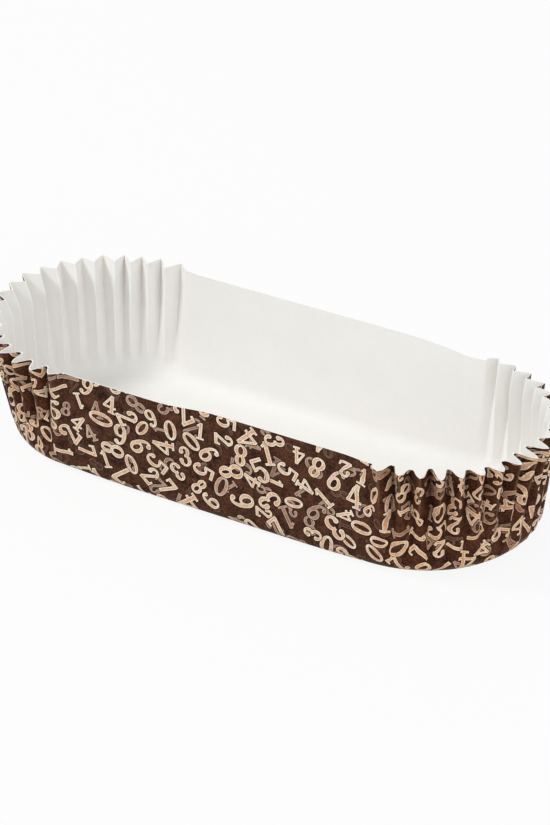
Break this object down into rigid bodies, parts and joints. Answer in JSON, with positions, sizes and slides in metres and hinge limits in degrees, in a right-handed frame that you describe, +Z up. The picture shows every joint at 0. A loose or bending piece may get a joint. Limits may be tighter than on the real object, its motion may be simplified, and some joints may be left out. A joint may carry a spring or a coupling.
{
  "type": "boat-shaped paper baking cup",
  "caption": "Boat-shaped paper baking cup with a flat base, smooth long walls and pleated rounded ends, open at the top, for baking and serving one small cake or loaf.",
  "frame": {"origin": "middle of the flat base, on the plane that the cup rests on", "axes": "+Z up towards the open top, X along the long walls, Y across the cup"},
  "size_m": [0.153, 0.0628, 0.0311],
  "materials": {
    "paper": "matt greaseproof paper, white inside and printed brown outside"
  },
  "bodies": {
    "root": {"paper_cup": "paper"}
  },
  "joints": []
}
